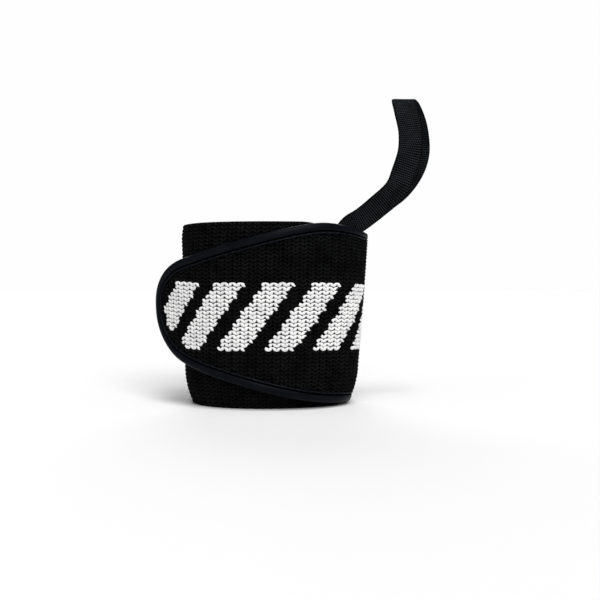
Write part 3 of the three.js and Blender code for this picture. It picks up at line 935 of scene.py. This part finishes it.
@dataclass
class KnittedBand:
    """The band: a shell of ground cloth, and rows of V stitches laid on the faces that show."""

    strip: WoundStrip
    bars: SlantedBars = SlantedBars()
    wale: float = 3.1
    course: float = 1.55
    swing: float = 0.66
    round_share: float = 0.45
    straight_share: float = 0.55
    drifts: tuple[Ripple, ...] = (Ripple(0.05, 0.61, 2.1), Ripple(0.04, 1.37, 4.7))
    swell: Ripple = Ripple(0.07, 0.83, 1.3)
    dark_radius: float = 0.52
    white_radius: float = 0.69
    dark_rise: float = 0.46
    white_rise: float = 0.62
    pinch: float = 0.74
    droop: float = 0.45
    samples_per_wale: int = 8
    row_sink: float = 0.46
    yarn_sink: float = 0.06
    bound_turns: float = 1.80
    bound_width: float = 4.2
    tuck: float = 0.35
    yarn_room: float = 0.3
    past_binding: float = 0.6
    probes: int = 900
    split_turns: float = 1.55
    hidden_turns: float = 1.26
    last_turns: float = 0.95
    selvedge: float = 0.7
    rim_level: float = 17.0
    shoulder: float = 4.0
    wound_step: float = 2.0
    near_stations: int = 60
    tip_stations: int = 26
    tip_reach: float = 24.0
    tip_clearance: float = 1.15
    tip_crowding: float = 1.7
    binding_ease: tuple[float, float] = (2.6, 0.4)
    edge_inset: float = 0.9
    edge_rounding: tuple[tuple[float, float], ...] = ((0.0, 0.35), (0.25, 0.85), (0.6, 1.0))
    thin_inset: float = 4.5
    loose_thin_inset: float = 2.4
    least_thin: float = 0.45
    full_inset: float = 5.3
    least_full: float = 0.35
    thickening: tuple[float, float] = (1.5, 4.5)
    bound_half_thickness: float = 0.4
    first_line: float = 0.92
    inner_lines: int = 16

    def wave(self, phase: Array) -> Array:
        """The swing of a row, rounded at its tops and pointed at its feet.

        Args:
            phase: angles along the row, a whole turn for each wale.
        Returns:
            Shares from -1 to 1.
        """
        rounded = 2 * np.abs(np.cos(phase / 2)) - 1
        straight = 4 * np.abs((phase / (2 * math.pi)) % 1.0 - 0.5) - 1
        return self.round_share * rounded + self.straight_share * straight

    def lay_row(self, row: int, start: float, end: float) -> tuple[Array, Array, Array]:
        """Lay one row of V stitches as half-round yarn.

        Args:
            row: the row's number, 0 at the strip's middle.
            start: distance from the tip where it starts.
            end: distance from the tip where it ends.
        Returns:
            Points, uvs, and for each ring whether it is white.
        """
        strip = self.strip
        count = max(2, round((end - start) / self.wale * self.samples_per_wale))
        from_tip = np.linspace(start, end, count + 1)
        wave = self.wave(2 * math.pi * from_tip / self.wale)
        drift = sum(ripple.at(from_tip, row) for ripple in self.drifts)
        fullness = 1 + self.swell.at(from_tip, row)
        level = row * self.course + self.swing * fullness * wave + drift
        way = unit(np.stack([np.gradient(from_tip), np.gradient(level)], axis=1))
        half_wale = self.wale / 2
        leg = (np.floor(from_tip / half_wale) + 0.5) * half_wale
        white = self.bars.cover(strip, leg, np.full_like(leg, row * self.course))
        neck = np.abs(wave) ** 2
        radius = np.where(white, self.white_radius, self.dark_radius) * fullness * (1 - self.pinch * neck)
        rise = np.where(white, self.white_rise, self.dark_rise) * (1 - self.droop * neck)
        around = np.radians(np.arange(0, 181, 45))
        across = np.cos(around) * radius[:, None]
        out = np.sin(around) * rise[:, None]
        place_from_tip = from_tip[:, None] - way[:, 1:] * across
        place_level = level[:, None] + way[:, :1] * across
        height = strip.centre(place_from_tip) + place_level
        seat = strip.thickness - self.row_sink - self.yarn_sink
        points = strip.place(place_from_tip, height, seat + out)
        return points, np.stack([place_from_tip, place_level], axis=-1), white.astype(int)

    def row_start(self, row: int, bound_until: float) -> float:
        """Where a row comes out from under the binding.

        Args:
            row: the row's number.
            bound_until: how far from the tip the binding runs.
        Returns:
            The distance from the tip.
        """
        places = np.linspace(0, bound_until, self.probes)
        room = self.strip.inset_half(self.bound_width - self.tuck, places) - self.yarn_room
        clear = places[room >= abs(row * self.course)]
        return float(clear[0]) if len(clear) else bound_until + self.past_binding

    def build_rows(self) -> tuple[Piece, Piece]:
        """Lay the rows on the outermost pass, and on what shows of the pass below it.

        Returns:
            The two pieces.
        """
        marks = (self.bound_turns, self.split_turns, self.hidden_turns, self.last_turns)
        bound_until, split, hidden, last = (self.strip.from_tip_at(turns) for turns in marks)
        most = int((self.strip.width / 2 - self.selvedge) / self.course)
        outer, under = [], []
        for row in range(-most, most + 1):
            end = last if abs(row * self.course) > self.rim_level else hidden
            outer.append(self.lay_row(row, self.row_start(row, bound_until), split))
            under.append(self.lay_row(row, split, end))
        pieces = []
        for name, rows in (("knit_rows_outer", outer), ("knit_rows_under", under)):
            points, uvs, white = (list(column) for column in zip(*rows))
            pieces.append(build_many(name, points, closed=False, uvs=uvs, finishes=white))
        return pieces[0], pieces[1]

    def shell_stations(self, bound_until: float) -> Array:
        """Where the shell's rings lie, closer together toward the tip.

        Args:
            bound_until: how far from the tip the binding runs.
        Returns:
            Distances from the tip, from the inner end on.
        """
        length, start = self.strip.length, bound_until + self.shoulder
        wound = np.arange(start, length, self.wound_step)[::-1]
        near = np.linspace(start, self.tip_reach, self.near_stations)[1:]
        share = np.linspace(1, 0, self.tip_stations)[1:] ** self.tip_crowding
        tip = self.tip_clearance + (self.tip_reach - self.tip_clearance) * share
        return np.concatenate([[length], wound, near, tip])

    def shell_lines(self, from_tip: Array, bound: Array, middle: float) -> tuple[Array, Array]:
        """The shell's section: lines along the strip, thinner under the binding.

        Args:
            from_tip: distances from the tip, one for each ring.
            bound: 0 where the edge is bare, 1 where it is bound.
            middle: half the shell's full thickness.
        Returns:
            Heights above the strip's middle line and half thicknesses, by ring and line.
        """
        strip = self.strip
        half = strip.half(from_tip)
        edge = mix(half, strip.inset_half(self.edge_inset, from_tip), bound)
        thin = mix(half - self.loose_thin_inset, strip.inset_half(self.thin_inset, from_tip), bound)
        thin = np.maximum(thin, edge * self.least_thin)
        inner = mix(half - self.full_inset, strip.inset_half(self.full_inset, from_tip), bound)
        full = np.maximum(inner, edge * self.least_full)
        grown = smooth(*self.thickening, inner - edge * self.least_full * bound)
        full_thick = mix(self.bound_half_thickness, middle, grown)
        edge_thick = mix(middle, self.bound_half_thickness, bound)
        lines = [(edge - inset, edge_thick * share) for inset, share in self.edge_rounding]
        lines += [(thin, edge_thick), (full, full_thick)]
        shares = np.linspace(self.first_line, 0, self.inner_lines)
        lines += [(full * share, full_thick) for share in shares]
        lines = [(-line, thick) for line, thick in lines] + lines[-2::-1]
        level, thick = (np.stack(column, axis=1) for column in zip(*lines))
        return level, thick

    def build_shell(self) -> Piece:
        """The ground cloth, one closed strip from the inner end to the tongue.

        Returns:
            The piece.
        """
        strip = self.strip
        bound_until = strip.from_tip_at(self.bound_turns)
        from_tip = self.shell_stations(bound_until)
        bound = smooth(*(bound_until + ease for ease in self.binding_ease), from_tip)
        middle = (strip.thickness - self.row_sink) / 2
        level, thick = self.shell_lines(from_tip, bound, middle)
        far = np.broadcast_to(from_tip[:, None], level.shape)
        height = strip.centre(far) + level
        outer, back = (strip.place(far, height, middle + side * thick) for side in (1, -1))
        return build_slab("band_shell", outer, back, np.stack([far, level], axis=-1))


@dataclass
class EdgeBinding:
    """The tape folded over the strip's edge, from one shoulder round the tongue to the other."""

    strip: WoundStrip
    start_turns: float = 1.80
    tape: float = 0.6
    half_thickness: float = 1.3
    inside_rise: float = 0.06
    fold_inward: float = 0.7
    inside_inward: float = 4.1
    stations: int = 380
    # Where the groove's faces are painted with shade.
    shaded_groove_inward: float = 3.34
    shaded_groove_half: float = 0.36
    shaded_groove_side: float = 1.02
    stitch_inward: float = 3.94
    stitch_side: float = 1.10
    stitch_pitch: float = 2.9
    stitch_length: float = 2.1
    stitch_radius: float = 0.15
    stitch_margin: float = 1.5

    def section(self) -> Array:
        """The tape's section: lip, stitched groove, roll and fold, then back along the inside.

        Returns:
            For each point, how far in from the outline and how far out of the strip's middle.
        """
        leg = [(4.15, 0.60), (4.34, 0.78), (4.28, 1.00), (4.05, 1.14), (3.78, 1.10), (3.62, 0.84),
               (3.46, 0.71), (3.16, 0.71), (2.98, 0.90), (2.60, 1.20), (1.90, 1.33), (1.20, 1.30),
               (0.65, 1.14), (0.26, 0.82), (0.04, 0.36)]
        outer = leg + [(inward, -side) for inward, side in leg[::-1]]
        depth = self.half_thickness - self.tape - self.inside_rise
        shares = np.linspace(-1, 1, len(outer))
        inward = mix(self.fold_inward, self.inside_inward, np.abs(shares))
        return np.concatenate([outer, np.stack([inward, -depth * np.sign(shares)], axis=1)])

    def reach(self) -> float:
        """How far along the outline the tape runs from the tip."""
        end = self.strip.from_tip_at(self.start_turns)
        return float(np.interp(end, self.strip.outline[:, 0], self.strip.outline[:, 4]))

    def build_tape(self) -> Piece:
        """The folded tape.

        Returns:
            The piece.
        """
        far = self.reach()
        half = self.stations // 2
        along = np.concatenate([-np.linspace(far, 0, half), np.linspace(0, far, half)[1:]])
        section = self.section()
        rings = self.strip.along_outline(along, section[:, 0], section[:, 1])
        girth = np.cumsum(np.linalg.norm(np.diff(section, axis=0, append=section[:1]), axis=1))
        girth = np.concatenate([[0], girth])
        ring_uv = np.stack(np.broadcast_arrays(along[:, None], girth), axis=-1)
        tape = build_body("binding_tape", rings, ring_uv, flip=True)
        inward, side = ((section + np.roll(section, -1, axis=0)) / 2).T
        # Painted shade: the faces in the stitched groove, on the outer face only, take the near-black
        # second material.
        painted_groove_shade = (np.abs(side) < self.shaded_groove_side) & (np.abs(inward - self.shaded_groove_inward) < self.shaded_groove_half)
        painted_groove_shade &= np.arange(len(section)) < len(section) / 2
        number = np.zeros(len(tape.data.polygons), np.int32)
        wound = (len(along) - 1) * len(section)
        number[:wound] = np.tile(painted_groove_shade, len(along) - 1)
        tape.data.polygons.foreach_set("material_index", number)
        return tape

    def build_stitches(self) -> Piece:
        """The row of stitches in the groove, on both faces.

        Returns:
            The piece.
        """
        far = self.reach() - self.stitch_margin
        radius = self.stitch_radius * thread_swell(STITCH_SHARE)
        step = 0.1
        threads = []
        for side in (self.stitch_side, -self.stitch_side):
            for station in np.arange(-far, far, self.stitch_pitch):
                along = station + STITCH_SHARE * self.stitch_length
                spots = [(self.stitch_inward, side), (self.stitch_inward + step, side),
                         (self.stitch_inward, side * (1 + step))]
                line, aside, above = (
                    self.strip.along_outline(along, np.array([inward]), np.array([out]))[:, 0]
                    for inward, out in spots)
                threads.append(thread_rings(line, aside - line, above - line, radius))
        return build_many("binding_stitches", threads, closed=True)


@dataclass
class HookTape:
    """The hook tape on the tongue's inner face, a hidden fastener in one plain piece."""

    strip: WoundStrip
    thickness: float = 1.0
    clearance: float = 0.15
    from_tip: float = 8.5
    to_tip: float = 68.0
    binding_inset: float = 5.3
    edge_margin: float = 1.4
    half_width: float = 22.0
    rounding: float = 0.22
    stations: int = 96
    shares: tuple[float, float, int] = (0.985, 0.96, 61)

    def build(self) -> Piece:
        """The tape's body.

        Returns:
            The piece.
        """
        strip = self.strip
        from_tip = np.linspace(self.to_tip, self.from_tip, self.stations)
        room = strip.inset_half(self.binding_inset, from_tip) - self.edge_margin
        half = np.minimum(room, self.half_width)
        share = cross_shares(*self.shares)
        level = half[:, None] * share
        far = np.broadcast_to(from_tip[:, None], level.shape)
        height = strip.centre(far) + level
        rounded = self.rounding * (np.abs(share) == 1)
        outer = strip.place(far, height, -self.clearance - rounded)
        inner = strip.place(far, height, -self.clearance - self.thickness + rounded)
        return build_slab("hook_tape_patch", outer, inner, np.stack([far, level], axis=-1))


@dataclass(frozen=True)
class LegRow:
    """A point of the loop's middle line on the wall, at a share of the band's half width."""

    turn: float
    level: float
    out: float


@dataclass(frozen=True)
class LooseRow:
    """A point of the loop outside, in shares of its rise from the rim, and the way it faces."""

    right: float
    back: float
    up: float
    face: Triple


FRONT_LEG = (
    LegRow(-0.305, -0.0411, 0.0), LegRow(-0.24, 0.2055, 0.0), LegRow(-0.18, 0.4274, 0.5),
    LegRow(-0.13, 0.6247, 0.7), LegRow(-0.096, 0.7781, 0.7),
)
BACK_LEG = (
    LegRow(0.008, 0.8329, 0.6), LegRow(-0.042, 0.6247, 0.9), LegRow(-0.108, 0.3616, 0.8),
    LegRow(-0.175, 0.0986, 0.5), LegRow(-0.24, -0.1699, 0.0), LegRow(-0.305, -0.4384, 0.0),
)
LOOSE_RUN = (
    LooseRow(-0.0078, -0.2227, -0.0391, (0.66, -0.75, 0)),
    LooseRow(0.0977, -0.1758, 0.0313, (0.48, -0.87, -0.1)),
    LooseRow(0.2168, -0.1836, 0.1250, (0.28, -0.95, -0.13)),
    LooseRow(0.3672, -0.2246, 0.2656, (0.12, -0.99, -0.08)),
    LooseRow(0.4238, -0.2344, 0.4023, (0.05, -1, -0.05)),
    LooseRow(0.4707, -0.2383, 0.5586, (0, -1, 0)),
    LooseRow(0.4766, -0.2187, 0.7148, (0, -0.96, 0.26)),
    LooseRow(0.4512, -0.1562, 0.8789, (0, -0.8, 0.6)),
    LooseRow(0.4473, -0.0156, 1.0000, (0.05, -0.1, 1)),
    LooseRow(0.5176, 0.1719, 0.9844, (0.1, 0.5, 0.85)),
    LooseRow(0.5957, 0.2930, 0.8359, (0.2, 0.93, 0.4)),
    LooseRow(0.6191, 0.3281, 0.6367, (0.3, 0.95, 0)),
    LooseRow(0.5645, 0.3008, 0.4414, (0.48, 0.78, -0.41)),
    LooseRow(0.4375, 0.2441, 0.2461, (0.55, 0.46, -0.70)),
    LooseRow(0.2617, 0.1875, 0.0977, (0.56, 0.09, -0.82)),
    LooseRow(0.1035, 0.1055, 0.0156, (0.76, -0.07, -0.65)),
)


@dataclass(frozen=True)
class SmoothLine:
    """A smooth line through points, centripetal as the solids' line is."""

    points: Array
    least_step: float = 1e-4

    def at(self, share: Array) -> Array:
        """Points at shares of the run from the first control to the last.

        Args:
            share: shares from 0 to 1.
        Returns:
            The points.
        """
        points = self.points
        last = len(points) - 1
        place = np.clip(np.asarray(share, float), 0, 1) * last
        index = np.minimum(place.astype(int), last - 1)
        weight = (place - index)[:, None]
        ends = np.concatenate([[2 * points[0] - points[1]], points, [2 * points[-1] - points[-2]]])
        p0, p1, p2, p3 = (ends[index + step] for step in range(4))
        first, middle, third = (
            np.linalg.norm(b - a, axis=1, keepdims=True) ** 0.5 for a, b in ((p0, p1), (p1, p2), (p2, p3)))
        middle = np.where(middle < self.least_step, 1.0, middle)
        first, third = (np.where(step < self.least_step, middle, step) for step in (first, third))
        leave = ((p1 - p0) / first - (p2 - p0) / (first + middle) + (p2 - p1) / middle) * middle
        arrive = ((p2 - p1) / middle - (p3 - p1) / (middle + third) + (p3 - p2) / third) * middle
        square = 3 * (p2 - p1) - 2 * leave - arrive
        cube = 2 * (p1 - p2) + leave + arrive
        return p1 + leave * weight + square * weight**2 + cube * weight**3


@dataclass
class ThumbLoop:
    """The narrow ribbed webbing, sewn by both ends inside the band."""

    form: WornForm
    width: float = 9.6
    thickness: float = 1.3
    clearance: float = 0.45
    rise: float = 51.2
    rib_pitch: float = 0.9
    rib_height: float = 0.24
    rib_bias: float = 0.2
    rib_fade: float = 0.7
    rib_samples: int = 5
    core_sink: float = 0.10
    selvedge: float = 0.12
    selvedge_thickness: float = 0.35
    selvedge_slope: float = 1.6
    shares: tuple[float, float, int] = (0.975, 0.93, 17)
    sewing_rows: int = 5
    sewing_stitches: int = 7
    sewing_inset: float = 1.5
    sewing_back: float = 9.5
    sewing_row_step: float = 2.0
    sewing_step: float = 1.18
    sewing_fill: float = 0.8
    sewing_radius: float = 0.2
    sewing_lift: float = 0.02
    line_samples: int = 6000
    line_step: float = 1e-4
    places: Array = field(init=False)
    facing: Array = field(init=False)
    across: Array = field(init=False)
    along: Array = field(init=False)

    def __post_init__(self) -> None:
        """Follow the loop's middle line with its facing."""
        controls = [self._leg(row) for row in FRONT_LEG] + [self._loose(row) for row in LOOSE_RUN]
        controls += [self._leg(row) for row in BACK_LEG]
        line = SmoothLine(np.array([place for place, _ in controls]))
        faces = SmoothLine(np.array([face for _, face in controls]))
        fine = np.linspace(0, 1, self.line_samples)
        steps = np.linalg.norm(np.diff(line.at(fine), axis=0), axis=1)
        measured = np.concatenate([[0], np.cumsum(steps)])
        self.along = np.arange(0, measured[-1], self.rib_pitch / self.rib_samples)
        share = np.interp(self.along, measured, fine)
        self.places = line.at(share)
        travel = unit(line.at(share + self.line_step) - line.at(share - self.line_step))
        face = faces.at(share)
        self.facing = unit(face - travel * np.sum(face * travel, axis=1, keepdims=True))
        self.across = np.cross(travel, self.facing)

    @property
    def length(self) -> float:
        """The webbing's length from end to end."""
        return float(self.along[-1])

    def _leg(self, row: LegRow) -> tuple[Array, Array]:
        """Follow the wall.

        Args:
            row: a row on the wall.
        Returns:
            Its place and its facing.
        """
        plan, normal = self.form.oval_at(row.turn)
        out = row.out - self.clearance - self.thickness / 2
        given = (np.float64(value) for value in (row.turn, 0.0, self.form.half_band * row.level, out))
        return self.form.points(plan, normal, *given), np.array([*normal, -self.form.cone_slope])

    def _loose(self, row: LooseRow) -> tuple[Array, Array]:
        """Rise from the rim.

        Args:
            row: a row outside.
        Returns:
            Its place and its facing.
        """
        start = np.array([self.form.hollow_width / 2, 0, self.form.half_band])
        place = start + self.rise * np.array([row.right, row.back, row.up])
        return place, unit(np.array(row.face, float))

    def build_webbing(self) -> Piece:
        """The webbing, with its ribs across and its flat selvedges.

        Returns:
            The piece.
        """
        share = cross_shares(*self.shares)
        edge = np.clip((1 - np.abs(share)) / self.selvedge, 0, 1)
        rib = np.cos(2 * math.pi * self.along / self.rib_pitch)[:, None] - self.rib_bias
        least = self.selvedge_thickness
        body = least + (1 - least) * np.minimum(1, edge * self.selvedge_slope)
        ribbed = self.rib_height / 2 * rib * edge**self.rib_fade
        thick = (self.thickness / 2 - self.core_sink) * body + ribbed
        aside = share * self.width / 2
        middle = self.places[:, None] + self.across[:, None] * aside[None, :, None]
        out = self.facing[:, None] * thick[..., None]
        flat = np.stack(np.broadcast_arrays(self.along[:, None], aside), axis=-1)
        return build_slab("loop_webbing", middle + out, middle - out, flat)

    def build_sewing(self) -> Piece:
        """Close rows of stitches that hold both ends to the band.

        Returns:
            The piece.
        """
        radius = self.sewing_radius * thread_swell(STITCH_SHARE)
        surface = self.thickness / 2 + self.sewing_lift
        places = [start + self.sewing_row_step * row
                  for start in (self.sewing_inset, self.length - self.sewing_back)
                  for row in range(self.sewing_rows)]
        threads = []
        for place in places:
            near = int(np.argmin(np.abs(self.along - place)))
            facing, across = self.facing[near], self.across[near]
            for step in range(self.sewing_stitches):
                from_middle = step - self.sewing_stitches // 2
                aside = (from_middle + STITCH_SHARE * self.sewing_fill) * self.sewing_step
                line = self.places[near] - facing * surface + across * aside[:, None]
                side = np.broadcast_to(np.cross(across, facing), line.shape)
                above = np.broadcast_to(-facing, line.shape)
                threads.append(thread_rings(line, side, above, radius))
        return build_many("loop_sewing", threads, closed=True)


@dataclass(frozen=True)
class SoftLight:
    """A wide, distant light: the way it stands in, its spread in degrees and its strength."""

    name: str
    stands: Triple
    spread: float
    strength: float


@dataclass(frozen=True)
class Studio:
    """A plain pale floor, soft lights and the camera.

    The surround lights the piece weakly and looks as pale as the floor.
    """

    floor_level: float = -37.2
    floor_reach: float = 6000.0
    floor_tone: float = 0.86
    camera_place: Triple = (12, -350, 12)
    camera_aim: Triple = (12, 0, 5.2)
    lens: float = 50.4
    sensor: float = 36.0
    clip_start: float = 0.01
    surround: float = 0.22
    backdrop: float = 0.99
    lights: tuple[SoftLight, ...] = (
        SoftLight("key_light", (240, -660, 500), 30, 1.90),
        SoftLight("fill_light", (-560, -560, 240), 40, 0.12),
        SoftLight("top_light", (80, -300, 760), 24, 1.50),
        SoftLight("back_light", (-60, 620, 380), 35, 0.90),
    )

    def lay_floor(self) -> None:
        """The floor."""
        ends = (-self.floor_reach, self.floor_reach)
        points = np.array([(x, y, self.floor_level) for y in ends for x in ends], float)
        faces, corners = grid_faces(2, 2, closed=False)
        floor = build_mesh("floor", points, faces[:, ::-1], points[:, :2][corners])
        material = bpy.data.materials.new("pale_floor")
        material.use_nodes = True
        NodeSketch(material.node_tree).feed(material.node_tree.nodes["Principled BSDF"], {
            "Base Color": (*[self.floor_tone] * 3, 1),
            "Roughness": 0.95,
            "Specular IOR Level": 0.1,
        })
        floor.data.materials.append(material)

    def _aim(self, item: Piece, place: Triple, target: Triple) -> None:
        """Stand a light or the camera and turn it to a target.

        Args:
            item: the light or the camera.
            place: where it stands, in millimetres.
            target: what it looks at, in millimetres.
        """
        item.location = [value * MM for value in place]
        way = Vector(target) * MM - item.location
        item.rotation_euler = way.to_track_quat("-Z", "Y").to_euler()
        bpy.context.scene.collection.objects.link(item)

    def hang_lights(self) -> None:
        """The soft lights and the pale surround."""
        for lamp in self.lights:
            light = bpy.data.lights.new(lamp.name, "SUN")
            light.angle = math.radians(lamp.spread)
            light.energy = lamp.strength
            self._aim(bpy.data.objects.new(lamp.name, light), lamp.stands, (0, 0, 0))
        world = bpy.data.worlds.new("pale_surround")
        world.use_nodes = True
        sketch = NodeSketch(world.node_tree)
        to_camera = sketch.node("ShaderNodeLightPath").outputs["Is Camera Ray"]
        choices: Values = {0: to_camera}
        for place, strength in enumerate((self.surround, self.backdrop), start=1):
            glow = {"Color": (1, 1, 1, 1), "Strength": strength}
            choices[place] = sketch.node("ShaderNodeBackground", glow).outputs[0]
        chosen = sketch.node("ShaderNodeMixShader", choices).outputs[0]
        sketch.feed(world.node_tree.nodes["World Output"], {"Surface": chosen})
        bpy.context.scene.world = world
        bpy.context.scene.view_settings.view_transform = "Standard"

    def set_camera(self) -> None:
        """The camera, at the photograph's angle and distance."""
        data = bpy.data.cameras.new("camera")
        data.sensor_width = self.sensor
        data.lens = self.lens
        data.clip_start = self.clip_start
        camera = bpy.data.objects.new("camera", data)
        self._aim(camera, self.camera_place, self.camera_aim)
        bpy.context.scene.camera = camera


def main() -> None:
    """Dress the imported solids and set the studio."""
    logging.basicConfig(level=logging.INFO, format="%(name)s %(message)s")
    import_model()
    studio = Studio()
    studio.set_camera()
    form = WornForm()
    strip = WoundStrip(form)
    wardrobe = Wardrobe()

    band = KnittedBand(strip)
    shell = wardrobe.dress(band.build_shell(), (BAND_GROUND,), "elastic_band")
    rows = [wardrobe.dress(rows, (DARK_YARN, WHITE_YARN)) for rows in band.build_rows()]
    binding = EdgeBinding(strip)
    tape = wardrobe.dress(binding.build_tape(), (BINDING_TAPE, GROOVE_PAINTED_SHADE), "edge_binding")
    stitches = wardrobe.dress(binding.build_stitches(), (DARK_THREAD,))
    hooks = wardrobe.dress(HookTape(strip).build(), (HOOK_TAPE,), "hook_patch")
    loop = ThumbLoop(form)
    wardrobe.dress(loop.build_webbing(), (WEBBING_CLOTH,), "thumb_loop")
    wardrobe.dress(loop.build_sewing(), (DARK_THREAD,))
    LOG.info("strip %.1f mm long, loop webbing %.1f mm long", strip.length, loop.length)

    studio.lay_floor()
    studio.hang_lights()


if __name__ == "__main__":
    main()
